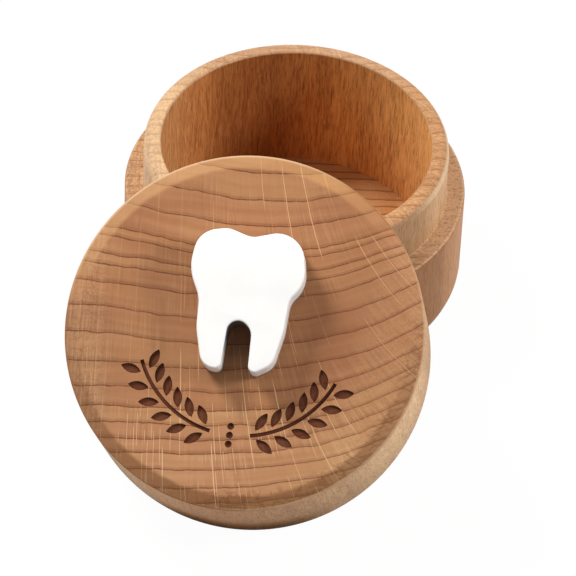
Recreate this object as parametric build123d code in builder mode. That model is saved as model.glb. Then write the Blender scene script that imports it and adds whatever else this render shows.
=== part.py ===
# Baby tooth box: a turned beech pot with a raised collar, its deep lid, and a white tooth
# glued on the lid. The lid is off and leans with its skirt on the collar's rim.
# Lengths are millimetres. The origin is the middle of the pot's foot, and +Z is up.

from build123d import *
import math
import os

# The pot, turned from one block of end grain
pot_radius = 30.0
pot_height = 20.5
foot_round = 4.5
shoulder_width = 3.25
shoulder_break = 0.6
collar_height = 10.0
collar_wall = 3.0
rim_round = 1.7
mouth_break = 0.4
floor_thickness = 5.0
floor_splay = 1.2

# The lid, turned to the same diameter
lid_wall_height = 22.0
bevel_width = 2.3
bevel_rise = 0.7
skirt_clearance = 0.35
head_room = 0.4
recess_splay = 0.8
skirt_break = 0.4

# How the lid leans: how far above its own middle its face crosses the rim's height, as a share
# of the radius it stands on, and how many degrees round the pot it stands
lid_rise_share = 0.7889
lid_swing = -7.86
lean_gap = 0.2
rim_contact_share = 0.6

# The white tooth
tooth_width = 18.9
tooth_length = 23.9
tooth_thickness = 5.2
tooth_edge_break = 0.3
tooth_off_left = 0.53
tooth_off_up = 4.2

# Sizes that follow from those above
collar_radius = pot_radius - shoulder_width
bore_radius = collar_radius - collar_wall
rim_height = pot_height + collar_height
recess_radius = collar_radius + skirt_clearance
recess_depth = collar_height + head_room
lid_top_height = lid_wall_height + bevel_rise


def edge_ring(part, height, radius):
    """The circular edge of an upright turned part that lies at this height and radius."""
    slack = radius / 1000
    rings = part.edges().filter_by(GeomType.CIRCLE)
    near = rings.filter_by(lambda ring: abs(ring.radius - radius) < slack)
    return near.sort_by(lambda ring: abs(ring.arc_center.Z - height))[0]


# The pot: foot, straight wall, shoulder, collar and bore in one half section
with BuildPart() as pot:
    with BuildSketch(Plane.XZ):
        with BuildLine():
            Polyline(
                (0, 0),
                (pot_radius, 0),
                (pot_radius, pot_height),
                (collar_radius, pot_height),
                (collar_radius, rim_height),
                (bore_radius, rim_height),
                (bore_radius, floor_thickness),
                (0, floor_thickness),
                close=True,
            )
        make_face()
    revolve(axis=Axis.Z)
    fillet(edge_ring(pot, 0, pot_radius), foot_round)
    chamfer(edge_ring(pot, pot_height, pot_radius), shoulder_break)
    fillet(edge_ring(pot, rim_height, collar_radius), rim_round)
    chamfer(edge_ring(pot, rim_height, bore_radius), mouth_break)
    chamfer(edge_ring(pot, floor_thickness, bore_radius), floor_splay)
pot.part.label = "pot"

# Where the lid rests. The outer edge of its skirt stands on the ground at one point, and the
# skirt's inner edge lies across the collar's rim at two points, one on each side, a little
# past halfway over the rim's round.
swing = math.radians(lid_swing)
standing_radius = pot_radius - skirt_break
crossing_up = standing_radius * lid_rise_share
lean = math.asin(rim_height / (standing_radius + crossing_up))
crossing_side = math.sqrt((recess_radius + skirt_break) ** 2 - crossing_up**2)
rim_contact = collar_radius - rim_round * rim_contact_share + lean_gap
reach = math.sqrt(rim_contact**2 - crossing_side**2) + crossing_up * math.cos(lean)

lid_axis = Vector(
    math.sin(lean) * math.sin(swing),
    -math.sin(lean) * math.cos(swing),
    math.cos(lean),
)
lid_across = Vector(math.cos(swing), math.sin(swing), 0)
skirt_middle = Vector(
    reach * math.sin(swing),
    -reach * math.cos(swing),
    standing_radius * math.sin(lean),
)
lid_plane = Plane(origin=skirt_middle, x_dir=lid_across, z_dir=lid_axis)
lid_section = Plane(origin=skirt_middle, x_dir=lid_across, z_dir=-lid_plane.y_dir)

# The lid: skirt, wall, bevelled edge, flat top and the recess that drops over the collar
with BuildPart() as lid:
    with BuildSketch(lid_section):
        with BuildLine():
            Polyline(
                (0, lid_top_height),
                (pot_radius - bevel_width, lid_top_height),
                (pot_radius, lid_wall_height),
                (pot_radius, skirt_break),
                (pot_radius - skirt_break, 0),
                (recess_radius + skirt_break, 0),
                (recess_radius, skirt_break),
                (recess_radius, recess_depth - recess_splay),
                (recess_radius - recess_splay, recess_depth),
                (0, recess_depth),
                close=True,
            )
        make_face()
    revolve(axis=Axis(skirt_middle, lid_axis))
lid.part.label = "lid"


# The tooth's corners before rounding, each as shares of its width and length from its middle,
# and how much of the corner's shorter side its rounding takes. They run clockwise from the
# dip in the crown.
right_of_crown_corners = [
    (-0.006, 0.444, 0.277),
    (0.189, 0.496, 0.073),
    (0.435, 0.518, 0.909),
    (0.522, 0.170, 0.661),
    (0.403, 0.046, 0.289),
]
right_root_corners = [
    (0.397, -0.176, 0.119),
    (0.344, -0.422, 0.316),
    (0.142, -0.522, 0.397),
]
fork_corners = [
    (0.118, -0.189, 0.307),
    (-0.093, -0.094, 0.658),
]
left_root_corners = [
    (-0.102, -0.498, 0.330),
    (-0.267, -0.497, 0.621),
    (-0.364, -0.234, 0.204),
]
left_of_crown_corners = [
    (-0.382, -0.021, 0.226),
    (-0.510, 0.175, 0.462),
    (-0.475, 0.444, 0.584),
    (-0.217, 0.491, 0.207),
]
tooth_corners = (
    right_of_crown_corners
    + right_root_corners
    + fork_corners
    + left_root_corners
    + left_of_crown_corners
)


def tooth_points():
    """The corners at full size, where the tooth sits on the lid."""
    return [
        (across * tooth_width - tooth_off_left, along * tooth_length + tooth_off_up)
        for across, along, taken in tooth_corners
    ]


def tooth_rounds():
    """The radius of each corner's rounding, which follows from the sides it lies between."""
    points = tooth_points()
    radii = []
    for index, (across, along, taken) in enumerate(tooth_corners):
        here = Vector(*points[index])
        before = Vector(*points[index - 1]) - here
        after = Vector(*points[(index + 1) % len(points)]) - here
        half_corner = math.radians(before.get_angle(after)) / 2
        leg = taken * min(before.length, after.length)
        radii.append(leg * math.tan(half_corner))
    return radii


# The tooth: a flat plaque that lies on the lid's top, with its upper edge eased
with BuildPart() as tooth:
    with BuildSketch(lid_plane.offset(lid_top_height)):
        with BuildLine():
            FilletPolyline(*tooth_points(), radius=tooth_rounds(), close=True)
        make_face()
    extrude(amount=tooth_thickness)
    top_face = tooth.faces().sort_by(Axis(skirt_middle, lid_axis))[-1]
    chamfer(top_face.edges(), tooth_edge_break)
tooth.part.label = "tooth"

os.makedirs("parts", exist_ok=True)
export_step(pot.part, "parts/pot.step")
export_step(lid.part, "parts/lid.step")
export_step(tooth.part, "parts/tooth.step")
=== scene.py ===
import math
from collections import namedtuple

import bmesh
import bpy
from mathutils import Matrix, Vector


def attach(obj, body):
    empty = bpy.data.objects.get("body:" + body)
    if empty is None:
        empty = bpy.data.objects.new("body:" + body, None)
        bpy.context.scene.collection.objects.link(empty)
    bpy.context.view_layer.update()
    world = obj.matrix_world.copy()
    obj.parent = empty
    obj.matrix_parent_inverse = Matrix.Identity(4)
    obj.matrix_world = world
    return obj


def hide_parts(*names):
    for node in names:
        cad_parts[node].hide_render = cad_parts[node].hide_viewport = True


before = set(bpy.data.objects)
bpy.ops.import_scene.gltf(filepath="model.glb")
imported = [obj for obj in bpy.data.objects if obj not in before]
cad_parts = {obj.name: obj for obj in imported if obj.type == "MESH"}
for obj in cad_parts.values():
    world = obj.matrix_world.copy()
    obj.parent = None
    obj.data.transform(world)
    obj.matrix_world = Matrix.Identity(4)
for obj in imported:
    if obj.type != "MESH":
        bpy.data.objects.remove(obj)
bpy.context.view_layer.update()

MILLIMETRE = 0.001

# The pot's sizes in millimetres, the same as for its solid
POT_RADIUS = 30.0
POT_HEIGHT = 20.5
SHOULDER_WIDTH = 3.25
COLLAR_HEIGHT = 10.0
COLLAR_WALL = 3.0
FLOOR_THICKNESS = 5.0
FOOT_ROUND = 4.5
SHOULDER_BREAK = 0.6
RIM_ROUND = 1.7
MOUTH_BREAK = 0.4
COLLAR_RADIUS = POT_RADIUS - SHOULDER_WIDTH
BORE_RADIUS = COLLAR_RADIUS - COLLAR_WALL
RIM_HEIGHT = POT_HEIGHT + COLLAR_HEIGHT

# The lid's
LID_WALL = 22.0
BEVEL_WIDTH = 2.3
BEVEL_RISE = 0.7
SKIRT_CLEARANCE = 0.35
SKIRT_BREAK = 0.4
HEAD_ROOM = 0.4
RECESS_CORNER = 0.8
LID_TOP = LID_WALL + BEVEL_RISE
RECESS_RADIUS = COLLAR_RADIUS + SKIRT_CLEARANCE
RECESS_DEPTH = COLLAR_HEIGHT + HEAD_ROOM

# The tooth's, with its middle on the lid's face
TOOTH_WIDTH = 18.9
TOOTH_LENGTH = 23.9
TOOTH_THICKNESS = 5.2
TOOTH_EASE = 0.3
TOOTH_MIDDLE = (-0.53, 4.2)

# Sandpaper has softened these corners a little, which the solids leave out
SHOULDER_CORNER = 0.25
BEVEL_SOFTNESS = 2.5
LID_EDGE_ROUND = 0.22
SKIRT_SOFTNESS = 0.2
SKIRT_EDGE_SOFTNESS = 0.1

# Each flat end of a turning is one face inside this radius
FOOT_FLAT = 18.0
FLOOR_FLAT = 12.0
FACE_FLAT = 22.7
RECESS_FLAT = 20.0

# How far the lid leans back and is swung round the pot, as in the solids, and what follows
LEAN = math.radians(35.17)
SWING = math.radians(-7.86)
LEAN_GAP = 0.2
RIM_CONTACT_SHARE = 0.6
STANDING_RADIUS = POT_RADIUS - SKIRT_BREAK
CROSSING_UP = RIM_HEIGHT / math.sin(LEAN) - STANDING_RADIUS
CROSSING_SIDE = math.sqrt((RECESS_RADIUS + SKIRT_BREAK) ** 2 - CROSSING_UP**2)
RIM_CONTACT = COLLAR_RADIUS - RIM_ROUND * RIM_CONTACT_SHARE + LEAN_GAP
REACH = math.sqrt(RIM_CONTACT**2 - CROSSING_SIDE**2) + CROSSING_UP * math.cos(LEAN)


def lid_place():
    """The matrix from the lid's own millimetres to the table's."""
    axis = Vector((
        math.sin(LEAN) * math.sin(SWING),
        -math.sin(LEAN) * math.cos(SWING),
        math.cos(LEAN),
    ))
    across = Vector((math.cos(SWING), math.sin(SWING), 0))
    turn = Matrix((across, axis.cross(across), axis)).transposed().to_4x4()
    middle = Vector((
        REACH * math.sin(SWING),
        -REACH * math.cos(SWING),
        STANDING_RADIUS * math.sin(LEAN),
    ))
    return Matrix.Translation(middle) @ turn


LID_PLACE = lid_place()
POT_PLACE = Matrix.Identity(4)


class Value:
    """A number or colour that changes over a surface, used in sums like any other number."""

    def __init__(self, bench, socket):
        self.bench = bench
        self.socket = socket

    def _sum(self, operation, first, second):
        return self.bench.node("ShaderNodeMath", {"operation": operation}, {0: first, 1: second})

    def __add__(self, other):
        return self._sum("ADD", self, other)

    __radd__ = __add__

    def __sub__(self, other):
        return self._sum("SUBTRACT", self, other)

    def __rsub__(self, other):
        return self._sum("SUBTRACT", other, self)

    def __mul__(self, other):
        return self._sum("MULTIPLY", self, other)

    __rmul__ = __mul__

    def __truediv__(self, other):
        return self._sum("DIVIDE", self, other)

    def __pow__(self, other):
        return self._sum("POWER", self, other)

    def __neg__(self):
        return self._sum("MULTIPLY", self, -1.0)

    def above(self, other):
        return self._sum("GREATER_THAN", self, other)

    def high(self, other):
        return self._sum("MAXIMUM", self, other)

    def whole(self):
        return self._sum("FLOOR", self, 0.0)

    def part(self):
        return self._sum("FRACT", self, 0.0)

    def size(self):
        return self._sum("ABSOLUTE", self, 0.0)

    def root(self):
        return self._sum("SQRT", self, 0.0)

    def exp(self):
        return self._sum("EXPONENT", self, 0.0)

    def log(self):
        return self._sum("LOGARITHM", self, math.e)


class Bench:
    """A node tree being built."""

    def __init__(self, tree):
        self.tree = tree

    def node(self, kind, settings=None, values=None, output=0):
        """One node of any kind, with its settings made before its values and links."""
        made = self.tree.nodes.new(kind)
        for name, setting in (settings or {}).items():
            if name == "points":
                self.set_points(made, setting)
            else:
                setattr(made, name, setting)
        for key, value in (values or {}).items():
            if isinstance(value, Value):
                self.tree.links.new(value.socket, made.inputs[key])
            else:
                made.inputs[key].default_value = value
        return Value(self, made.outputs[output])

    def set_points(self, made, points):
        """Gives a curve its points, with straight lines between them."""
        curve = made.mapping.curves[0]
        while len(curve.points) < len(points):
            curve.points.new(0.5, 0.5)
        for point, (across, up) in zip(curve.points, points):
            point.location = (across, up)
            point.handle_type = "VECTOR"
        made.mapping.update()

    def vector(self, x, y, z):
        return self.node("ShaderNodeCombineXYZ", None, {0: x, 1: y, 2: z})

    def coordinates(self, place):
        """The three coordinates of a place, each by itself."""
        split = self.tree.nodes.new("ShaderNodeSeparateXYZ")
        self.tree.links.new(place.socket, split.inputs[0])
        return [Value(self, socket) for socket in split.outputs]

    def noise(self, place, scale, detail=2.0, rough=0.5):
        values = {"Vector": place, "Scale": scale, "Detail": detail, "Roughness": rough}
        return self.node("ShaderNodeTexNoise", None, values)

    def chance(self, place):
        """A number from 0 to 1 that is fixed for each place and different for its neighbours."""
        return self.node("ShaderNodeTexWhiteNoise", None, {"Vector": place})

    def rise(self, value, low, high):
        """A smooth step from 0 at low to 1 at high."""
        settings = {"interpolation_type": "SMOOTHSTEP"}
        values = {"Value": value, "From Min": low, "From Max": high}
        return self.node("ShaderNodeMapRange", settings, values)

    def fall(self, value, low, high):
        """A smooth step from 1 at low to 0 at high."""
        return 1.0 - self.rise(value, low, high)

    def hill(self, value, foot, top, brow, end):
        """0 up to the foot, 1 from the top to the brow, and 0 again from the end on."""
        return self.rise(value, foot, top) * self.fall(value, brow, end)

    def mix(self, share, first, second, blend="MIX"):
        """Two colours mixed."""
        settings = {"data_type": "RGBA", "blend_type": blend}
        return self.node("ShaderNodeMix", settings, {0: share, 6: first, 7: second}, 2)

    def tinted(self, share, colour, tint):
        """A colour, multiplied by a tint as far as the share says."""
        return self.mix(share, colour, tint, "MULTIPLY")


def tone(red, green, blue):
    """A colour written as it shows on a screen, 0 to 255, as the light it stands for."""
    parts = []
    for level in (red, green, blue):
        share = level / 255
        parts.append(share / 12.92 if share < 0.04045 else ((share + 0.055) / 1.055) ** 2.4)
    return (*parts, 1.0)


WHITE = (1, 1, 1, 1)


def new_material(name):
    """A material with a bench to build it on and its main shader."""
    material = bpy.data.materials.new(name)
    material.use_nodes = True
    tree = material.node_tree
    shader = next(node for node in tree.nodes if node.type == "BSDF_PRINCIPLED")
    return material, Bench(tree), shader


def joined(bench, value, shader, name):
    """Feeds what changes over a surface into its shader."""
    bench.tree.links.new(value.socket, shader.inputs[name])


def own_place(bench, place):
    """Where a point lies in a piece's own millimetres, whichever way the piece leans."""
    back = place.inverted()
    coordinates = bench.tree.nodes.new("ShaderNodeTexCoord")
    values = {
        "Vector": Value(bench, coordinates.outputs["Object"]),
        "Location": back.translation,
        "Rotation": back.to_euler("XYZ"),
        "Scale": (1 / MILLIMETRE,) * 3,
    }
    return bench.node("ShaderNodeMapping", None, values)


def facing(bench, place):
    """How squarely the surface faces along the piece's own axis, 0 to 1."""
    geometry = bench.tree.nodes.new("ShaderNodeNewGeometry")
    normal = Value(bench, geometry.outputs["Normal"])
    axis = place.to_3x3() @ Vector((0, 0, 1))
    dot = bench.node("ShaderNodeVectorMath", {"operation": "DOT_PRODUCT"}, {0: normal, 1: axis}, 1)
    return dot.size()


# Distance from one growth ring of the lid's block to the next, down its face
LID_RING_START = 13.2
LID_RING_STEPS = (
    4.6, 4.3, 4.3, 1.2, 2.6, 1.6, 2.8, 3.9, 4.0, 4.2, 3.8, 3.1, 2.5, 2.5, 2.2, 2.7, 3.1, 2.5,
)
POT_RING_START = 11.0
POT_RING_STEPS = (
    2.4, 1.9, 2.6, 2.0, 1.7, 2.8, 2.3, 1.8, 2.1, 3.0, 2.2, 1.6, 2.4, 2.6, 1.9, 2.2, 2.8, 2.0,
    1.8, 2.5, 2.1, 2.7, 1.9, 2.3, 2.6,
)

# The way down that the tables of rings cover, and how much of it lies above the middle
RING_SPAN = 80.0
RINGS_BEFORE_MIDDLE = 40.0

# How far the rings bow, by powers of the place across, and how that changes up the face
RING_BOW = (3.71, 5.69, 3.16)
RING_LEAN = (-1.38, 2.70)

# The rays spread from left to right: how fast, how much, and over what height
RAY_BEND = 14.0
RAY_SPREAD = 0.2
RAY_EASE = 0.05
RAY_HEIGHT = 280.0

# Grain changes slowly along the axis, so patterns are drawn out along it
LONG_DRAW = 0.06
SHORT_DRAW = 0.2

# The colours that one piece of beech is made of, and how coarsely it was sawn, 0 to 1
Beech = namedtuple("Beech", "tan pink dark light coarse")


class EndGrain:
    """A turned piece of beech whose grain runs along its axis, as nodes on a bench."""

    def __init__(self, bench, place, ring_start, ring_steps, seed, bow=1.0):
        self.bench = bench
        self.bow = bow
        self.place = own_place(bench, place)
        self.x, self.y, self.z = bench.coordinates(self.place)
        self.radius = (self.x * self.x + self.y * self.y).root()
        self.endness = bench.rise(facing(bench, place), 0.55, 0.8)
        self.seed = seed
        self.ring_start = ring_start
        self.ring_steps = ring_steps
        self.drawn = bench.vector(self.x + seed, self.y, self.z * LONG_DRAW)
        self.down = self.down_rings()
        self.ray = self.ray_place()

    def down_rings(self):
        """How far down the rings a point lies: they bow, and climb faster to the right."""
        bench = self.bench
        across = self.x / POT_RADIUS
        up = self.y / POT_RADIUS
        straight, square, cubic = RING_BOW
        bow = across * (across * (across * cubic + square) + straight)
        straight, square = RING_LEAN
        lean = up * across * (across * square + straight)
        slow = bench.noise(self.drawn, 0.11, 1.0) - 0.5
        quick = (bench.noise(self.drawn, 0.45, 1.5) - 0.5) * 0.5
        # The rings run straight across the floor of the bore
        above_floor = bench.rise(self.z, FLOOR_THICKNESS + 2.0, FLOOR_THICKNESS + 5.0)
        bow = (bow + lean) * above_floor * self.bow
        return bow - self.y + RINGS_BEFORE_MIDDLE + slow + quick

    def ray_place(self):
        """Where a ray starts at the top of the face: rays lean more the further right they are."""
        reach = (self.x / RAY_BEND).exp() * RAY_SPREAD
        share = reach * ((self.y - POT_RADIUS) / RAY_HEIGHT).exp() / (reach + RAY_EASE)
        start = (share * (RAY_EASE / RAY_SPREAD) / (1.0 - share)).log() * RAY_BEND
        # How much wider apart the rays lie here than at the top
        self.spread = (reach + RAY_EASE) / ((start / RAY_BEND).exp() * RAY_SPREAD + RAY_EASE)
        return start + (self.bench.noise(self.drawn, 0.2, 1.0) - 0.5) * 0.15

    def ring_number(self, down):
        """Which ring a point is in, counted with its fraction."""
        points = [(0.0, 0.0)]
        reach = self.ring_start
        count = len(self.ring_steps) + 2
        for number, step in enumerate((0.0,) + self.ring_steps, start=1):
            reach += step
            points.append((reach / RING_SPAN, number / count))
        points.append((1.0, 1.0))
        values = {"Factor": 1.0, "Value": down / RING_SPAN}
        curve = self.bench.node("ShaderNodeFloatCurve", {"points": points}, values)
        return curve * count

    def ring_line(self, width):
        """1 on the dark line at the edge of each ring."""
        return self.ring_number(self.down + width).whole() - self.ring_number(self.down).whole()

    def distance(self, across, up):
        """How far a point lies from a place on the face."""
        aside = self.x - across
        above = self.y - up
        return (aside * aside + above * above).root()

    def ray_lines(self, spacing, width, length, share, salt):
        """Thin light rays that run out from the tree's middle, each of its own length."""
        bench = self.bench
        round_way = self.ray / spacing + salt
        cell = round_way.whole()
        step = self.down / length + bench.chance(bench.vector(cell, salt, 0.5)) * 3.0
        row = step.whole()
        place = bench.vector(cell, row, salt)
        offset = bench.chance(place) * 0.7 + 0.15
        shown = (1.0 - bench.chance(bench.vector(row, cell, salt + 2.0))).above(1.0 - share)
        off_line = (round_way.part() - offset).size() * spacing * self.spread
        line = bench.fall(off_line, width * 0.4, width)
        start = bench.chance(bench.vector(cell, row, salt + 5.0)) * 0.45
        along = step.part()
        ends = bench.rise(along, start, start + 0.06) * bench.fall(along, 0.88, 1.0)
        return line * ends * shown


def ring_tones(grain, beech):
    """Each ring's own tone, with bands inside it and a darker end."""
    bench = grain.bench
    number = grain.ring_number(grain.down)
    ring_tone = bench.chance(bench.vector(number.whole(), grain.seed, 3.0))
    patch = bench.noise(grain.drawn, 0.10, 2.0)
    warmth = bench.rise(ring_tone * 0.7 + patch * 0.8, 0.38, 1.0)
    colour = bench.mix(warmth, beech.tan, beech.pink)
    band_place = bench.vector(grain.ray * 0.05, grain.down * 0.8, grain.seed)
    band = bench.noise(band_place, 1.0, 2.0) - 0.5
    colour = bench.mix(band.high(0.0) * 0.65, colour, beech.dark)
    colour = bench.mix((-band).high(0.0) * 0.5, colour, beech.light)
    late_wood = number.part() ** 4.0 * 0.16
    return bench.mix(late_wood, colour, beech.dark)


def sawn_texture(grain, beech, colour, rough, close):
    """Fine rays, specks, pores and grit, strongest where the saw left the wood rough."""
    bench = grain.bench
    hatch_place = bench.vector(grain.ray * 3.4, grain.down * 0.10, grain.z * SHORT_DRAW)
    hatch = bench.noise(hatch_place, 1.0, 2.0, 0.6) - 0.5
    strength = close * 0.5 + rough * 0.45 + 0.1
    colour = bench.mix(rough * 0.14, colour, beech.light)
    colour = bench.mix(hatch.high(0.0) * strength * 1.3, colour, beech.light)
    colour = bench.mix((-hatch).high(0.0) * strength * 1.4, colour, beech.dark)
    lattice_place = bench.vector(grain.ray * 1.6, grain.down * 2.4, grain.z * SHORT_DRAW)
    lattice = bench.noise(lattice_place, 1.5, 2.0, 0.7)
    specks = rough * (beech.coarse * 0.5 + 0.06) + 0.04
    colour = bench.mix(bench.rise(lattice, 0.5, 0.72) * specks, colour, beech.dark)
    pore_place = bench.vector(grain.x, grain.y, grain.z * SHORT_DRAW)
    pores = bench.rise(bench.noise(pore_place, 7.0, 2.0, 0.7), 0.56, 0.72)
    colour = bench.mix(pores * (rough * 0.25 + 0.08), colour, beech.dark)
    grit = bench.noise(pore_place, 2.6, 2.0, 0.7)
    gritty = rough * (beech.coarse * 0.4 + 0.15)
    colour = bench.mix(bench.rise(grit, 0.52, 0.68) * gritty, colour, beech.light)
    return bench.mix(bench.fall(grit, 0.3, 0.44) * gritty, colour, beech.dark)


def cracks(grain, beech, colour, rough):
    """The net of fine cracks along the rings and the rays that sawn end grain shows."""
    bench = grain.bench
    if beech.coarse:
        shown = rough * (0.5 - bench.rise(grain.x, -16.0, 12.0) * 0.2)
    else:
        sawn = bench.rise(grain.radius, 25.8, 28.2) * bench.rise(grain.x - grain.y, 18.0, 30.0)
        shown = (rough * bench.rise(-grain.x, 0.0, 4.0) * 0.2).high(sawn * 0.5)
    shown = shown * bench.rise(grain.z, 8.0, 12.0)
    for ray_scale, ring_scale, salt in ((0.35, 1.3, 1.0), (1.2, 0.3, 9.0)):
        place = bench.vector(grain.ray * ray_scale + salt, grain.down * ring_scale, grain.z * 0.1)
        level = bench.noise(place, 1.0, 1.5) * 3.2
        crack = bench.fall((level.part() - 0.5).size(), 0.03, 0.13)
        colour = bench.mix(crack * shown, colour, beech.dark)
    return colour


def ring_lines(grain, beech, colour, plain):
    """The dark line that ends each ring, thin and strong over broad and soft."""
    bench = grain.bench
    strength = bench.rise(bench.noise(grain.drawn, 0.7, 3.0, 0.7), 0.3, 0.65) * 0.44 + 0.48
    colour = bench.mix(grain.ring_line(0.2) * (strength * plain), colour, beech.dark)
    return bench.mix(grain.ring_line(0.6) * (0.24 * plain), colour, beech.dark)


def light_rays(grain, beech, colour, plain, close):
    """Bold rays and fine ones, and on the lid short ones close together at the front."""
    bench = grain.bench
    bold = grain.ray_lines(spacing=2.6, width=0.085, length=26.0, share=0.66, salt=17.0)
    fine = grain.ray_lines(spacing=0.8, width=0.06, length=11.0, share=0.34, salt=31.0)
    away = bench.rise(grain.x - grain.y * 0.5, -22.0, -6.0) * 0.8 + 0.2
    lower = bench.rise(-grain.y, -14.0, 2.0) * 0.65 + 0.35
    colour = bench.mix(bold * away * (0.85 * plain), colour, beech.light)
    if not beech.coarse:
        short = grain.ray_lines(spacing=0.5, width=0.07, length=7.0, share=0.5, salt=43.0)
        short = short * close * bench.rise(-grain.y, 4.0, 13.0)
        colour = bench.mix(short * 0.6, colour, beech.light)
    return bench.mix(fine * away * lower * (0.65 * plain), colour, beech.light)


def beech_colour(grain, beech):
    """The end grain's colour: ring tones, dark ring lines, light rays and fine pores."""
    bench = grain.bench
    # The sawn edge is rougher, and fine rays lie close together in patches
    rough = bench.rise((grain.x + 2.0).size() + grain.y * -0.12, 19.5, 23.5).high(beech.coarse)
    close = bench.rise(bench.noise(grain.drawn, 0.16, 1.0), 0.48, 0.62)
    plain = 1.0 - beech.coarse * 0.25
    colour = ring_tones(grain, beech)
    colour = sawn_texture(grain, beech, colour, rough, close)
    colour = cracks(grain, beech, colour, rough)
    colour = ring_lines(grain, beech, colour, plain)
    return light_rays(grain, beech, colour, plain, close)


# The flecks on a wall: how close they lie, how drawn out and how large
WALL_FLECKS = ((0.9, 0.14, 0.10), (1.7, 0.10, 0.12), (2.7, 0.09, 0.14))
BORE_FLECKS = ((0.6, 0.08, 0.11), (0.9, 0.12, 0.08))


def side_colour(grain, pale, mid, fleck, wavy=0.0):
    """The long grain's colour on the walls: upright streaks, wavy in the bore, and flecks."""
    bench = grain.bench
    wander = (bench.noise(bench.vector(grain.x, grain.y, grain.z * 0.3), 0.9, 1.5) - 0.5) * wavy
    drawn = bench.vector(grain.x, grain.y, grain.z * 0.08)
    streak = bench.noise(drawn, 2.4, 3.0, 0.6)
    colour = bench.mix(bench.rise(streak, 0.3, 0.72), pale, mid)
    broad = bench.noise(drawn, 0.4, 3.0)
    colour = bench.mix(bench.rise(broad, 0.42, 0.68) * (0.3 - wavy * 0.16), colour, fleck)
    waved = bench.vector(grain.x + wander, grain.y - wander, grain.z * (0.13 - wavy * 0.075))
    hair = bench.noise(waved, 3.6 + wavy, 2.0, 0.6)
    colour = bench.mix(bench.rise(hair, 0.52, 0.66) * (0.5 - wavy * 0.1), colour, fleck)
    colour = bench.mix(bench.fall(hair, 0.36, 0.47) * (0.35 + wavy * 0.35), colour, pale)
    for scale, stretch, size in BORE_FLECKS if wavy else WALL_FLECKS:
        place = bench.vector(grain.x, grain.y, grain.z * stretch)
        near = bench.node("ShaderNodeTexVoronoi", None, {"Vector": place, "Scale": scale})
        flecks = bench.fall(near, size * 0.5, size * 1.5)
        colour = bench.mix(flecks * (0.8 - wavy * 0.3), colour, fleck)
    return colour


# How deep a bump's full height is, in metres
BUMP_DEPTH = 0.0001


def grain_bump(grain, strength):
    """Pores, ring lines and drawn-out grain felt under a finger."""
    bench = grain.bench
    pores = bench.noise(bench.vector(grain.x, grain.y, grain.z * 0.15), 6.0, 3.0, 0.7)
    sand = bench.noise(grain.place, 1.1, 2.0)
    height = pores * 0.6 + sand * 0.4 - grain.ring_line(0.24) * 0.1
    values = {"Height": height, "Strength": strength, "Distance": BUMP_DEPTH}
    return bench.node("ShaderNodeBump", None, values)


def finish_wood(grain, shader, colour, rough):
    """Oiled wood: its colour, how dull it is, and the feel of its grain."""
    bench = grain.bench
    joined(bench, colour, shader, "Base Color")
    joined(bench, rough, shader, "Roughness")
    joined(bench, grain_bump(grain, 0.35), shader, "Normal")
    shader.inputs["Specular IOR Level"].default_value = 0.18


def skirt_front(grain):
    """1 on the lid's wall where it comes down to the table."""
    bench = grain.bench
    return bench.hill(grain.x, -14.0, -5.0, 9.0, 19.0) * bench.rise(-grain.y, 16.0, 25.0)


def lid_wall(grain):
    """The lid's wall: painted shade makes it darker down to the skirt; it is palest low on the
    left, and along the right, where that is painted light.
    """
    bench = grain.bench
    sides = side_colour(grain, tone(214, 167, 113), tone(195, 146, 95), tone(144, 98, 60))
    # Painted shade, darker down the wall towards the table
    sides = bench.mix(bench.fall(grain.z, -4.0, 19.0) * 0.3, sides, tone(120, 78, 38))
    # Painted shade where the skirt comes down to the table
    skirt = skirt_front(grain) * bench.fall(grain.z, 1.5, 9.5)
    sides = bench.mix(skirt * 0.72, sides, tone(52, 28, 10))
    low_left = bench.rise(-grain.y, 22.0, 26.0) * bench.fall(grain.x, -11.0, -3.0)
    left_end = bench.rise(-grain.x, 24.0, 26.5) * bench.fall(grain.z, 9.0, 17.0) * 0.6
    # Painted light along the right of the wall
    right = bench.rise(grain.x, 20.0, 27.0) * bench.fall(grain.y, -5.0, 3.0)
    sides = bench.tinted(right, sides, (1.26, 1.41, 1.7, 1.0))
    sides = bench.tinted(low_left.high(left_end), sides, (1.22, 1.34, 1.52, 1.0))
    front = bench.rise(-grain.y, 12.0, 29.0) * bench.fall(grain.x, 2.0, 22.0)
    front = front * (bench.rise(grain.x, -22.0, -8.0) * 0.8 + 0.2)
    return bench.tinted(front, sides, tone(240, 212, 164))


def bevel_light_and_shade(grain, colour):
    """Painted light on the bevel, honey at the top, and painted shade, brown at the bottom."""
    bench = grain.bench
    uneven = grain.radius + (bench.noise(grain.drawn, 0.35, 2.0) - 0.5) * 0.9
    bevel = bench.rise(uneven, 27.3, 28.1) * bench.rise(grain.z, LID_WALL - 0.6, LID_WALL - 0.1)
    upper = bench.rise(grain.y - grain.x * 0.35, 10.0, 24.0)
    lower = bench.rise(grain.x * 0.1 - grain.y, 0.0, 24.0)
    # Painted light on the top of the bevel and painted shade on its bottom
    colour = bench.mix(bevel * upper * 0.4, colour, tone(206, 156, 100))
    return bench.mix(bevel * lower * 0.5, colour, tone(118, 74, 38))


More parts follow.
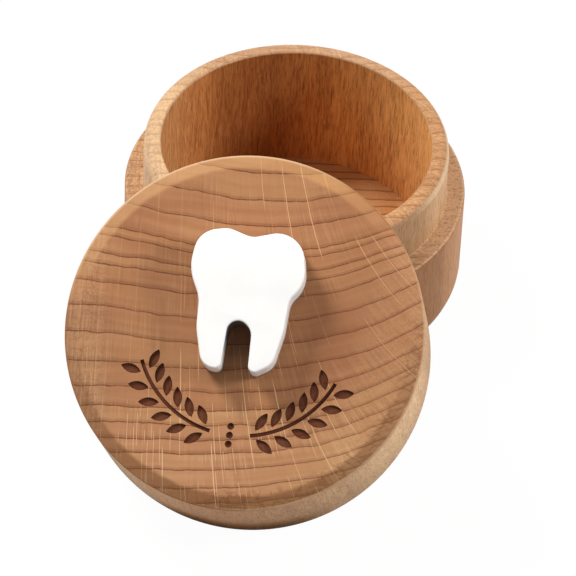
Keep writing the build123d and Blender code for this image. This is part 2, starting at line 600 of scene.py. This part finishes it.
def lid_face(grain, colour):
    """The face's broad patches, lighter or darker: painted shade between the tooth's roots, a
    darker patch to its right that is partly painted shadow, and painted light below its roots.
    """
    bench = grain.bench
    # Painted shade on the wood between the tooth's roots
    fork_shade = bench.fall((grain.x + 0.3).size(), 1.2, 2.4) * bench.hill(grain.y, -8.5, -3.5, 2.0, 4.0)
    colour = bench.mix(fork_shade * 0.5, colour, tone(74, 38, 24))
    # A darker patch right of the tooth, partly painted shadow of the tooth and partly the wood's
    # own tone
    right = bench.fall(grain.distance(15.0, 2.0), 2.0, 19.0)
    colour = bench.mix(right * 0.35, colour, tone(126, 76, 50))
    left = bench.fall(grain.distance(-15.0, -3.0), 2.0, 13.0)
    colour = bench.mix(left * 0.1, colour, tone(214, 158, 114))
    # Painted light under the tooth's roots
    below = bench.fall(grain.distance(3.0, -11.5), 1.0, 9.0)
    colour = bench.tinted(below, colour, (1.12, 1.15, 1.14, 1.0))
    far_left = bench.rise(-grain.x, 15.0, 22.0) * bench.fall((grain.y + 8.0).size(), 6.0, 13.0)
    return bench.tinted(far_left * grain.endness, colour, tone(244, 246, 248))


def lid_edge(grain, colour):
    """The edge between the bevel and the wall: painted shade darkens it, and at the top and right
    a painted highlight makes it pale instead.
    """
    bench = grain.bench
    edge = bench.rise(grain.radius, POT_RADIUS - 0.5, POT_RADIUS - 0.15)
    edge = edge * bench.rise(grain.z, LID_WALL - 0.5, LID_WALL - 0.05)
    edge_highlight = bench.rise(grain.x - grain.y * 0.5, 8.0, 28.0) * 0.4
    shine = bench.rise(grain.y * 0.8 - grain.x * 0.5, 12.0, 24.0) * 0.5
    bare = bench.rise(-grain.y, 12.0, 22.0) * bench.fall(grain.x, 4.0, 16.0) * 0.45
    # Painted shade on the edge, held back where the painted highlights lie
    colour = bench.mix(edge * (0.55 - edge_highlight - shine - bare), colour, tone(150, 100, 60))
    # Painted highlights along the edge at the right and at the upper left
    return bench.mix(edge * (edge_highlight * 0.9 + shine), colour, tone(240, 206, 168))


def burned_place(grain):
    """1 in the garland's cuts, which lie below the face."""
    bench = grain.bench
    inside = bench.fall(grain.radius, 25.5, 26.0)
    below = bench.fall(grain.z, LID_TOP - 0.1, LID_TOP - 0.02)
    return below * inside * grain.z.above(LID_WALL - 0.5)


def char_colour(grain, ends):
    """The garland's burned wood: brown on its floor, black on its walls, with soot."""
    bench = grain.bench
    char = bench.mix(grain.endness, tone(42, 15, 8), tone(96, 41, 22))
    soot = bench.rise(bench.noise(grain.drawn, 1.3, 2.0), 0.35, 0.7)
    char = bench.mix(soot * 0.5, char, tone(72, 29, 15))
    return bench.mix(0.12, char, ends)


def lid_wood():
    """The lid's oiled beech, with the garland burned into it."""
    material, bench, shader = new_material("oiled beech lid")
    grain = EndGrain(bench, LID_PLACE, LID_RING_START, LID_RING_STEPS, seed=0.0)
    # The face is paler towards the front
    pale = bench.rise(-grain.y, 6.0, 26.0) * 0.55
    beech = Beech(
        tan=bench.mix(pale, tone(184, 131, 89), tone(206, 157, 112)),
        pink=bench.mix(pale, tone(172, 117, 80), tone(198, 146, 106)),
        dark=tone(112, 60, 34),
        light=bench.mix(pale, tone(226, 178, 132), tone(250, 216, 172)),
        coarse=0.0,
    )
    ends = beech_colour(grain, beech)
    colour = bench.mix(grain.endness, lid_wall(grain), ends)
    # The face is yellower low on the right
    yellow = bench.tinted(1.0, colour, tone(255, 255, 240))
    yellow = bench.mix(0.22, yellow, tone(210, 170, 126))
    low_right = bench.rise(grain.x - grain.y * 0.8, 18.0, 34.0) * grain.endness
    colour = bench.mix(low_right * 0.6, colour, yellow)
    colour = bevel_light_and_shade(grain, colour)
    colour = lid_face(grain, colour)
    colour = lid_edge(grain, colour)
    burned = burned_place(grain)
    colour = bench.mix(burned, colour, char_colour(grain, ends))
    # Dullest in the cuts and where the skirt comes down to the table
    skirt = skirt_front(grain) * bench.fall(grain.z, 1.5, 11.0)
    rough = bench.noise(grain.drawn, 1.5, 2.0) * 0.14 + 0.46 + burned * 0.2 + skirt * 0.4
    finish_wood(grain, shader, colour, rough)
    return material


def rim_and_ledge(grain, ends):
    """The pot's end grain: a painted highlight making the rim pale on the left, a browner rim at
    the right, and a pale ledge, paler on the right with painted light where the collar shades it.
    """
    bench = grain.bench
    rim = bench.rise(grain.z, RIM_HEIGHT - 1.5, RIM_HEIGHT - 0.7)
    left = bench.rise(-grain.x, 12.0, 24.0)
    at_back = bench.rise(grain.y, 13.0, 22.0)
    at_right = bench.rise(grain.x, 14.0, 22.0) * (1.0 - at_back)
    # Painted highlight on the rim at the left
    ends = bench.mix(rim * left * 0.24, ends, tone(255, 230, 186))
    ends = bench.mix(rim * (1.0 - left) * 0.22, ends, tone(186, 130, 84))
    ends = bench.mix(rim * at_back * 0.2, ends, tone(186, 158, 138))
    ends = bench.mix(rim * at_right * 0.18, ends, tone(160, 104, 54))
    ledge_left = bench.rise(-grain.x, 18.0, 27.0) * (1.0 - rim)
    ledge_right = bench.rise(grain.x, 18.0, 27.0) * (1.0 - rim)
    ends = bench.mix(ledge_left * 0.1, ends, tone(238, 198, 152))
    # Painted light on the ledge at the right, which lies in the collar's shadow
    ends = bench.mix(ledge_right * 0.6, ends, tone(236, 190, 148))
    pits = bench.noise(bench.vector(grain.x, grain.y, grain.z), 1.9, 2.0, 0.6)
    pitted = bench.rise(pits, 0.54, 0.66) * (ledge_right * 0.5)
    return bench.mix(pitted, ends, tone(118, 70, 36))


def pot_walls(grain):
    """The collar's wall and the foot's, which is redder. Both are browner at the front right,
    where painted shade stands for the lid's shadow.
    """
    bench = grain.bench
    sides = side_colour(grain, tone(219, 180, 140), tone(197, 153, 112), tone(130, 84, 50))
    sides = bench.mix(0.22, sides, tone(236, 202, 166))
    foot = bench.tinted(1.0, sides, tone(225, 198, 174))
    sides = bench.tinted(bench.rise(grain.x, 8.0, 18.0), sides, tone(252, 245, 234))
    at_foot = bench.rise(grain.radius, POT_RADIUS - 2.0, POT_RADIUS - 0.5)
    sides = bench.mix(at_foot, sides, foot)
    # Painted shade at the front right, where the lid shades the walls
    shade_from_lid = bench.rise(-grain.y, 9.5, 17.0) * bench.rise(grain.x, 8.0, 18.0)
    return bench.tinted(shade_from_lid, sides, (0.67, 0.63, 0.60, 1.0))


def collar_edge_highlight(grain, colour):
    """A painted highlight along the collar's outer edge on the right."""
    bench = grain.bench
    edge = bench.rise(grain.radius, COLLAR_RADIUS - 0.85, COLLAR_RADIUS - 0.35)
    height = grain.z - RIM_HEIGHT
    edge = edge * bench.hill(height, -1.9, -1.3, -0.9, -0.3) * bench.rise(grain.x, 20.0, 25.0)
    return bench.mix(edge * 0.35, colour, tone(252, 224, 190))


def bore_colour(grain, colour):
    """The bore, where the oil has gone deeper: honey, with painted shade on one side and painted
    light on the other.
    """
    bench = grain.bench
    bore = bench.fall(grain.radius, BORE_RADIUS + 0.15, BORE_RADIUS + 0.55)
    bore = bore * bench.hill(grain.z, 1.0, 2.0, RIM_HEIGHT - 0.6, RIM_HEIGHT - 0.2)
    wall = 1.0 - grain.endness
    lines = side_colour(grain, tone(240, 198, 150), tone(205, 154, 110), tone(98, 50, 22), 1.0)
    colour = bench.mix(bore * wall, colour, lines)
    colour = bench.tinted(bore, colour, tone(228, 195, 156))
    left = bench.rise(-grain.x, 17.0, 23.0)
    colour = bench.tinted(bore * left, colour, (0.98, 1.13, 1.36, 1.0))
    # Painted shade in the bore left of the middle
    shaded_side = bench.hill(grain.x, -21.0, -11.0, -5.0, 3.0) * 0.9
    colour = bench.tinted(bore * shaded_side, colour, tone(197, 181, 168))
    # Painted light on the right of the bore, with a sharp edge to it high up
    lit = bench.rise(grain.x, 1.5, 9.0) * 0.7 - bench.rise(grain.x, 12.0, 20.0) * 0.22
    light_edge = bench.rise(grain.x, 5.5, 5.9) * bench.rise(grain.z, 10.0, 24.0) * 0.26
    colour = bench.tinted(bore * (lit + light_edge) * wall, colour, (1.46, 1.82, 2.02, 1.0))
    lighter = bench.hill(grain.x, 0.0, 6.0, 12.0, 18.0) * 0.25 + 0.36
    lighter = lighter - bench.rise(grain.x, 13.0, 18.0) * 0.15
    floor = bench.mix(lighter, colour, tone(220, 168, 118))
    floor = bench.mix(grain.ring_line(0.35) * 0.5, floor, tone(112, 62, 30))
    return bench.mix(bore * grain.endness, colour, floor)


def pot_wood():
    """The pot's oiled beech, sawn more coarsely than the lid's."""
    material, bench, shader = new_material("oiled beech pot")
    grain = EndGrain(bench, POT_PLACE, POT_RING_START, POT_RING_STEPS, seed=40.0, bow=0.4)
    beech = Beech(
        tan=tone(204, 157, 112),
        pink=tone(190, 142, 101),
        dark=tone(128, 76, 42),
        light=tone(238, 200, 154),
        coarse=0.8,
    )
    ends = rim_and_ledge(grain, beech_colour(grain, beech))
    colour = bench.mix(grain.endness, pot_walls(grain), ends)
    colour = collar_edge_highlight(grain, colour)
    colour = bore_colour(grain, colour)
    rough = bench.noise(grain.drawn, 1.5, 2.0) * 0.14 + 0.46
    finish_wood(grain, shader, colour, rough)
    return material


def tooth_white():
    """Satin white paint and sawn walls, with painted shade on the walls between the roots and a
    painted contact shadow along the foot.
    """
    material, bench, shader = new_material("satin white tooth")
    place = own_place(bench, LID_PLACE)
    across, up, height = bench.coordinates(place)
    cloud = bench.rise(bench.noise(place, 0.25, 2.0), 0.3, 0.8)
    face = bench.mix(cloud, tone(254, 254, 253), tone(251, 251, 250))
    sawn = bench.rise(bench.noise(place, 2.2, 3.0, 0.7), 0.35, 0.7)
    wall = bench.mix(sawn, tone(247, 246, 242), tone(226, 225, 221))
    # Painted shade on the walls between the roots
    fork_shade = bench.fall((across + 0.3).size(), 2.8, 3.1) * bench.hill(up, -7.2, -1.5, 4.5, 6.5)
    wall = bench.mix(fork_shade * 0.92, wall, tone(44, 45, 47))
    # A painted contact shadow along the foot of the walls
    contact_shadow = bench.fall(height, LID_TOP + 1.0, LID_TOP + 1.7)
    wall = bench.mix(contact_shadow * 0.85, wall, tone(70, 46, 34))
    colour = bench.mix(bench.rise(facing(bench, LID_PLACE), 0.2, 0.6), wall, face)
    joined(bench, colour, shader, "Base Color")
    rough = bench.noise(place, 1.2, 2.0) * 0.12 + 0.34
    joined(bench, rough, shader, "Roughness")
    paint = bench.noise(place, 3.5, 2.0)
    values = {"Height": paint, "Strength": 0.06, "Distance": BUMP_DEPTH}
    joined(bench, bench.node("ShaderNodeBump", None, values), shader, "Normal")
    return material


# How far past a rounding the outline gets one more point, so that flats stay flat
FLAT_LEAD = 0.04

# Edges that turn by more than this many degrees stay crisp
CRISP_ANGLE = 28
TOOTH_CRISP_ANGLE = 15


def rounded(corners, closed, steps=7):
    """Corners given as (across, up, round) turned into points, with each corner rounded off."""
    points = []
    count = len(corners)
    for index, (across, up, rounding) in enumerate(corners):
        here = Vector((across, up))
        at_end = not closed and index in (0, count - 1)
        if at_end or not rounding:
            points.append(here)
            continue
        before = (Vector(corners[index - 1][:2]) - here).normalized()
        after = (Vector(corners[(index + 1) % count][:2]) - here).normalized()
        half = before.angle(after) / 2
        leg = rounding / math.tan(half)
        centre = here + (before + after).normalized() * rounding / math.sin(half)
        start = here + before * leg - centre
        finish = here + after * leg - centre
        first = math.atan2(start.y, start.x)
        turn = (math.atan2(finish.y, finish.x) - first + math.pi) % (2 * math.pi) - math.pi
        points.append(here + before * (leg + FLAT_LEAD))
        for step in range(steps + 1):
            angle = first + turn * step / steps
            points.append(centre + rounding * Vector((math.cos(angle), math.sin(angle))))
        points.append(here + after * (leg + FLAT_LEAD))
    return points


def in_scene(name, data):
    """A new object that is in the scene."""
    made = bpy.data.objects.new(name, data)
    bpy.context.scene.collection.objects.link(made)
    return made


def finished_mesh(name, shape, place, crisp=CRISP_ANGLE):
    """A mesh object at the origin, with its place in its mesh and its corners kept crisp."""
    mesh = bpy.data.meshes.new(name)
    bmesh.ops.recalc_face_normals(shape, faces=shape.faces)
    shape.to_mesh(mesh)
    shape.free()
    mesh.transform(Matrix.Scale(MILLIMETRE, 4) @ place)
    mesh.shade_smooth()
    mesh.set_sharp_from_angle(angle=math.radians(crisp))
    return in_scene(name, mesh)


def wall_between(shape, first, second):
    """A closed wall of faces from one ring of corners to the next."""
    count = len(first)
    for step in range(count):
        after = (step + 1) % count
        shape.faces.new((first[step], first[after], second[after], second[step]))


def turned(section, around=288):
    """A solid turned from a half section of (radius, height) points, closed flat at both ends."""
    shape = bmesh.new()
    rings = []
    for radius, height in section:
        ring = []
        for step in range(around):
            angle = 2 * math.pi * step / around
            place = (radius * math.cos(angle), radius * math.sin(angle), height)
            ring.append(shape.verts.new(place))
        rings.append(ring)
    for lower, upper in zip(rings, rings[1:]):
        wall_between(shape, lower, upper)
    shape.faces.new(rings[0])
    shape.faces.new(rings[-1])
    return shape


def plain_copy(made, name):
    """The object with its modifiers worked in, as a plain mesh object."""
    graph = bpy.context.evaluated_depsgraph_get()
    mesh = bpy.data.meshes.new_from_object(made.evaluated_get(graph))
    mesh.name = name
    bpy.data.objects.remove(made)
    return in_scene(name, mesh)


# The garland burned round the front of the lid
GARLAND_RADIUS = 17.6
GARLAND_DEPTH = 0.4
CUT_SLOPE = 0.22
CUT_OVERRUN = 0.3
STEM_WIDTH = 0.75
STEM_SLOPE = 0.12
LEAF_LENGTH = 3.6
LEAF_WIDTH = 1.6
LEAF_PAIRS = 6
LEAF_LEAN_OUT = 42
LEAF_LEAN_IN = 138
BERRY_RADIUS = 0.62
BERRY_SPACING = 1.5

# Where the stems and the leaves start and end, in degrees round the lid
LEFT_STEM = (-156, -100)
RIGHT_STEM = (-22, -78)
LEFT_LEAVES = (-103, -150)
RIGHT_LEAVES = (-75, -28)
BERRIES = (-89, -88.9)


def cutter(outline):
    """A flat graver's cut with sloping walls, for one closed outline round the origin."""
    shape = bmesh.new()
    middle = sum(outline, Vector((0, 0))) / len(outline)
    levels = []
    widened = -CUT_SLOPE * CUT_OVERRUN / GARLAND_DEPTH
    for height, inset in ((CUT_OVERRUN, widened), (-GARLAND_DEPTH, CUT_SLOPE)):
        ring = []
        for point in outline:
            away = point - middle
            length = max(away.length, 0.001)
            moved = middle + away * max(length - inset, 0.05) / length
            ring.append(shape.verts.new((moved.x, moved.y, height)))
        levels.append(ring)
    upper, lower = levels
    wall_between(shape, upper, lower)
    shape.faces.new(upper)
    shape.faces.new(lower)
    return shape


def stem_shape(first, last, steps=40):
    """A thin curved cut along the garland's arc, between two angles in degrees."""
    outer = []
    inner = []
    for step in range(steps + 1):
        angle = math.radians(first + (last - first) * step / steps)
        way = Vector((math.cos(angle), math.sin(angle)))
        outer.append(way * (GARLAND_RADIUS + STEM_WIDTH / 2))
        inner.append(way * (GARLAND_RADIUS - STEM_WIDTH / 2))
    shape = bmesh.new()
    levels = []
    for height, inset in ((CUT_OVERRUN, 0.0), (-GARLAND_DEPTH, STEM_SLOPE)):
        ring = [shape.verts.new((p * (1 - inset / p.length)).to_3d()) for p in outer]
        ring += [shape.verts.new((p * (1 + inset / p.length)).to_3d()) for p in reversed(inner)]
        for vertex in ring:
            vertex.co.z = height
        levels.append(ring)
    upper, lower = levels
    wall_between(shape, upper, lower)
    # The two long flat faces are strips, because the arc isn't convex
    for ring in levels:
        for step in range(steps):
            far = len(ring) - 1 - step
            shape.faces.new((ring[step], ring[step + 1], ring[far - 1], ring[far]))
    return shape


def leaf_outline(steps=9):
    """A pointed leaf along +X, from its stalk."""
    points = []
    for side in (1, -1):
        for step in range(steps):
            share = step / steps
            if side < 0:
                share = 1 - share
            half = LEAF_WIDTH / 2 * math.sin(math.pi * share) ** 0.8
            points.append(Vector((LEAF_LENGTH * share, side * half)))
    return points


def dot_outline(radius, around=16):
    """A round berry's outline."""
    angles = [2 * math.pi * step / around for step in range(around)]
    return [Vector((radius * math.cos(angle), radius * math.sin(angle))) for angle in angles]


def set_inputs(modifier, tree, values):
    """Sets a modifier's inputs by their names."""
    for item in tree.interface.items_tree:
        if item.item_type == "SOCKET" and item.in_out == "INPUT" and item.name in values:
            modifier[item.identifier] = values[item.name]


def garland_tree():
    """Repeats one cut along an arc, turned to lean off the arc by a set angle."""
    tree = bpy.data.node_groups.new("cuts along an arc", "GeometryNodeTree")
    face = tree.interface
    face.new_socket("Cut", in_out="INPUT", socket_type="NodeSocketObject")
    for name in ("Radius", "First angle", "Last angle", "Lean"):
        face.new_socket(name, in_out="INPUT", socket_type="NodeSocketFloat")
    face.new_socket("Count", in_out="INPUT", socket_type="NodeSocketInt")
    face.new_socket("Finish", in_out="INPUT", socket_type="NodeSocketMaterial")
    face.new_socket("Geometry", in_out="OUTPUT", socket_type="NodeSocketGeometry")
    bench = Bench(tree)
    start = tree.nodes.new("NodeGroupInput")
    given = {socket.name: Value(bench, socket) for socket in start.outputs if socket.name}
    index = bench.node("GeometryNodeInputIndex")
    share = index / (given["Count"] - 1.0)
    angle = given["First angle"] + (given["Last angle"] - given["First angle"]) * share
    cosine = bench.node("ShaderNodeMath", {"operation": "COSINE"}, {0: angle})
    sine = bench.node("ShaderNodeMath", {"operation": "SINE"}, {0: angle})
    place = bench.vector(cosine * given["Radius"], sine * given["Radius"], 0.0)
    points = bench.node("GeometryNodePoints", None, {"Count": given["Count"], "Position": place})
    cut = bench.node("GeometryNodeObjectInfo", None, {"Object": given["Cut"]}, "Geometry")
    turn = bench.vector(0.0, 0.0, angle + given["Lean"])
    values = {"Points": points, "Instance": cut, "Rotation": turn}
    placed = bench.node("GeometryNodeInstanceOnPoints", None, values)
    real = bench.node("GeometryNodeRealizeInstances", None, {"Geometry": placed})
    values = {"Geometry": real, "Material": given["Finish"]}
    dressed = bench.node("GeometryNodeSetMaterial", None, values)
    finish = tree.nodes.new("NodeGroupOutput")
    tree.links.new(dressed.socket, finish.inputs["Geometry"])
    return tree


def repeated(tree, cut, finish, radius, angles, lean, count):
    """Cuts along an arc as one plain mesh object, angles in degrees."""
    first, last = angles
    holder = in_scene("cuts", bpy.data.meshes.new("cuts"))
    modifier = holder.modifiers.new("along the arc", "NODES")
    modifier.node_group = tree
    set_inputs(modifier, tree, {
        "Cut": cut,
        "Radius": radius * MILLIMETRE,
        "First angle": math.radians(first),
        "Last angle": math.radians(last),
        "Lean": math.radians(lean),
        "Count": count,
        "Finish": finish,
    })
    return plain_copy(holder, "cuts")


def garland_cuts(finish):
    """Two sprigs that meet at the front, with three berries between them."""
    tree = garland_tree()
    leaf = finished_mesh("leaf cut", cutter(leaf_outline()), POT_PLACE)
    berry = finished_mesh("berry cut", cutter(dot_outline(BERRY_RADIUS)), POT_PLACE)
    cuts = []
    for stem in (LEFT_STEM, RIGHT_STEM):
        cuts.append(finished_mesh("stem cut", stem_shape(*stem), POT_PLACE))
    for leaves, side in ((LEFT_LEAVES, -1), (RIGHT_LEAVES, 1)):
        for edge, lean in ((STEM_WIDTH, LEAF_LEAN_OUT), (-STEM_WIDTH, LEAF_LEAN_IN)):
            radius = GARLAND_RADIUS + edge
            cuts.append(repeated(tree, leaf, finish, radius, leaves, side * lean, LEAF_PAIRS))
    for place in (-1, 0, 1):
        radius = GARLAND_RADIUS + place * BERRY_SPACING
        cuts.append(repeated(tree, berry, finish, radius, BERRIES, 0, 1))
    bpy.data.objects.remove(leaf)
    bpy.data.objects.remove(berry)
    return cuts


def carved_lid():
    """The turned lid with the garland cut into its top."""
    section = rounded([
        (FACE_FLAT, LID_TOP, 0),
        (POT_RADIUS - BEVEL_WIDTH, LID_TOP, BEVEL_SOFTNESS),
        (POT_RADIUS, LID_WALL, LID_EDGE_ROUND),
        (POT_RADIUS, SKIRT_BREAK, SKIRT_SOFTNESS),
        (POT_RADIUS - SKIRT_BREAK, 0.0, SKIRT_EDGE_SOFTNESS),
        (RECESS_RADIUS + SKIRT_BREAK, 0.0, SKIRT_EDGE_SOFTNESS),
        (RECESS_RADIUS, SKIRT_BREAK, SKIRT_SOFTNESS),
        (RECESS_RADIUS, RECESS_DEPTH, RECESS_CORNER),
        (RECESS_FLAT, RECESS_DEPTH, 0),
    ], closed=False)
    lid = finished_mesh("beech_lid", turned(section), POT_PLACE)
    wood = lid_wood()
    lid.data.materials.append(wood)
    for cut in garland_cuts(wood):
        cut.data.transform(Matrix.Translation((0, 0, LID_TOP * MILLIMETRE)))
        carve = lid.modifiers.new("carve", "BOOLEAN")
        carve.operation = "DIFFERENCE"
        carve.solver = "EXACT"
        carve.object = cut
        lid = plain_copy(lid, "beech_lid")
        bpy.data.objects.remove(cut)
    to_metres = Matrix.Scale(MILLIMETRE, 4)
    to_millimetres = Matrix.Scale(1 / MILLIMETRE, 4)
    lid.data.transform(to_metres @ LID_PLACE @ to_millimetres)
    lid.data.materials.clear()
    lid.data.materials.append(wood)
    for polygon in lid.data.polygons:
        polygon.material_index = 0
    lid.data.shade_smooth()
    lid.data.set_sharp_from_angle(angle=math.radians(CRISP_ANGLE))
    return lid


def turned_pot():
    """The pot with its foot, shoulder, collar and bore."""
    section = rounded([
        (FOOT_FLAT, 0.0, 0),
        (POT_RADIUS, 0.0, FOOT_ROUND),
        (POT_RADIUS, POT_HEIGHT, SHOULDER_BREAK),
        (COLLAR_RADIUS, POT_HEIGHT, SHOULDER_CORNER),
        (COLLAR_RADIUS, RIM_HEIGHT, RIM_ROUND),
        (BORE_RADIUS, RIM_HEIGHT, MOUTH_BREAK),
        (BORE_RADIUS, FLOOR_THICKNESS, 0),
        (FLOOR_FLAT, FLOOR_THICKNESS, 0),
    ], closed=False)
    pot = finished_mesh("beech_pot", turned(section), POT_PLACE)
    pot.data.materials.append(pot_wood())
    return pot


# The tooth's corners before rounding, as shares of its width and length, and how much of the
# corner's shorter side its rounding takes, as they are for the solids
TOOTH_CORNERS = [
    (-0.006, 0.444, 0.277),
    (0.189, 0.496, 0.073),
    (0.435, 0.518, 0.909),
    (0.522, 0.170, 0.661),
    (0.403, 0.046, 0.289),
    (0.397, -0.176, 0.119),
    (0.344, -0.422, 0.316),
    (0.142, -0.522, 0.397),
    (0.118, -0.189, 0.307),
    (-0.093, -0.094, 0.658),
    (-0.102, -0.498, 0.330),
    (-0.267, -0.497, 0.621),
    (-0.364, -0.234, 0.204),
    (-0.382, -0.021, 0.226),
    (-0.510, 0.175, 0.462),
    (-0.475, 0.444, 0.584),
    (-0.217, 0.491, 0.207),
]


def tooth_outline():
    """The points of the tooth's rounded outline, from its table of shares."""
    places = [
        Vector((across * TOOTH_WIDTH, along * TOOTH_LENGTH))
        for across, along, taken in TOOTH_CORNERS
    ]
    corners = []
    for index, (across, along, taken) in enumerate(TOOTH_CORNERS):
        here = places[index]
        before = places[index - 1] - here
        after = places[(index + 1) % len(places)] - here
        leg = taken * min(before.length, after.length)
        corners.append((here.x, here.y, leg * math.tan(before.angle(after) / 2)))
    return rounded(corners, closed=True, steps=12)


def white_tooth():
    """The tooth as a flat shape with a soft edge, laid on the lid."""
    outline = tooth_outline()
    curve = bpy.data.curves.new("tooth outline", "CURVE")
    curve.dimensions = "2D"
    curve.fill_mode = "BOTH"
    curve.extrude = TOOTH_THICKNESS / 2 - TOOTH_EASE
    curve.bevel_depth = TOOTH_EASE
    curve.bevel_resolution = 4
    curve.offset = -TOOTH_EASE
    line = curve.splines.new("POLY")
    line.points.add(len(outline) - 1)
    for point, place in zip(line.points, outline):
        point.co = (place.x, place.y, 0, 1)
    line.use_cyclic_u = True
    flat = in_scene("tooth outline", curve)
    graph = bpy.context.evaluated_depsgraph_get()
    mesh = bpy.data.meshes.new_from_object(flat.evaluated_get(graph))
    bpy.data.objects.remove(flat)
    shape = bmesh.new()
    shape.from_mesh(mesh)
    bmesh.ops.remove_doubles(shape, verts=shape.verts, dist=0.001)
    middle = (TOOTH_MIDDLE[0], TOOTH_MIDDLE[1], LID_TOP + TOOTH_THICKNESS / 2)
    place = LID_PLACE @ Matrix.Translation(middle)
    tooth = finished_mesh("white_tooth", shape, place, TOOTH_CRISP_ANGLE)
    tooth.data.materials.append(tooth_white())
    return tooth


pot = turned_pot()
lid = carved_lid()
tooth = white_tooth()
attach(pot, "pot")
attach(lid, "lid")
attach(tooth, "lid")
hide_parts("pot")
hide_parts("lid")
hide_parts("tooth")


def seen_directly(bench):
    """1 for what the camera, a reflection or a see-through surface shows."""
    path = bench.tree.nodes.new("ShaderNodeLightPath")
    camera = Value(bench, path.outputs["Is Camera Ray"])
    glossy = Value(bench, path.outputs["Is Glossy Ray"])
    through = Value(bench, path.outputs["Is Transmission Ray"])
    return camera.high(glossy).high(through)


# The floor is a square, in millimetres, and lies a hair below the pot so that nothing flickers
FLOOR_SIZE = 3000.0
FLOOR_DROP = 0.02
FLOOR_WHITE = 1.045
FLOOR_WHITE_SHARE = 0.93


def pale_floor():
    """A wide pale floor that shows white and still takes the object's shadow."""
    shape = bmesh.new()
    bmesh.ops.create_grid(shape, x_segments=1, y_segments=1, size=FLOOR_SIZE)
    floor = finished_mesh("pale_floor", shape, Matrix.Translation((0, 0, -FLOOR_DROP)))
    material, bench, shader = new_material("pale floor")
    shader.inputs["Base Color"].default_value = (0.45, 0.44, 0.43, 1)
    shader.inputs["Roughness"].default_value = 0.9
    glow = bench.node("ShaderNodeEmission", None, {"Color": WHITE, "Strength": FLOOR_WHITE})
    seen = seen_directly(bench)
    body = Value(bench, shader.outputs[0])
    both = bench.node("ShaderNodeMixShader", None, {0: seen * FLOOR_WHITE_SHARE, 1: body, 2: glow})
    output = next(node for node in bench.tree.nodes if node.type == "OUTPUT_MATERIAL")
    bench.tree.links.new(both.socket, output.inputs[0])
    floor.data.materials.append(material)
    return floor


def white_surround(strength):
    """A white world that lights the box at this strength and itself shows white."""
    world = bpy.data.worlds.new("soft surround")
    bpy.context.scene.world = world
    world.use_nodes = True
    bench = Bench(world.node_tree)
    back = next(node for node in world.node_tree.nodes if node.type == "BACKGROUND")
    back.inputs["Color"].default_value = WHITE
    seen = seen_directly(bench)
    bench.tree.links.new((seen * (1 - strength) + strength).socket, back.inputs["Strength"])


# Both lamps are discs of this size, in metres, and look at the middle of the box
LAMP_SIZE = 0.4
LAMP_TARGET = (0, -0.02, 0.02)


def soft_lamp(name, place, power, colour=(1, 1, 1)):
    """A round lamp aimed at the box."""
    lamp = bpy.data.lights.new(name, "AREA")
    lamp.shape = "DISK"
    lamp.size = LAMP_SIZE
    lamp.energy = power
    lamp.color = colour
    made = in_scene(name, lamp)
    made.location = place
    aim = Vector(LAMP_TARGET) - Vector(place)
    made.rotation_euler = aim.to_track_quat("-Z", "Y").to_euler()


# The camera's place in metres and its three directions, found from the rings of the pot
CAMERA_PLACE = (-0.00041, -0.584471, 0.557752)
CAMERA_RIGHT = (0.999032, 0.030512, 0.031676)
CAMERA_UP = (-0.043981, 0.693075, 0.719522)
CAMERA_BACK = (0.0, -0.720219, 0.693746)
FOCAL_PIXELS = 4500.0
FRAME_PIXELS = 576
SENSOR_WIDTH = 36.0


def camera():
    """The camera stands where the object shows as it does in the photograph."""
    data = bpy.data.cameras.new("camera")
    data.sensor_width = SENSOR_WIDTH
    data.lens = FOCAL_PIXELS / FRAME_PIXELS * SENSOR_WIDTH
    data.clip_start = 0.01
    data.clip_end = 20.0
    turn = Matrix((CAMERA_RIGHT, CAMERA_UP, CAMERA_BACK)).transposed().to_4x4()
    made = in_scene("camera", data)
    made.matrix_world = Matrix.Translation(CAMERA_PLACE) @ turn
    bpy.context.scene.camera = made


pale_floor()
white_surround(0.24)
soft_lamp("window", (-0.64, 0.34, 0.94), 13.8, (1.0, 0.98, 0.95))
soft_lamp("right fill", (0.98, -0.22, 0.68), 8.8)
camera()
bpy.context.scene.view_settings.view_transform = "Standard"
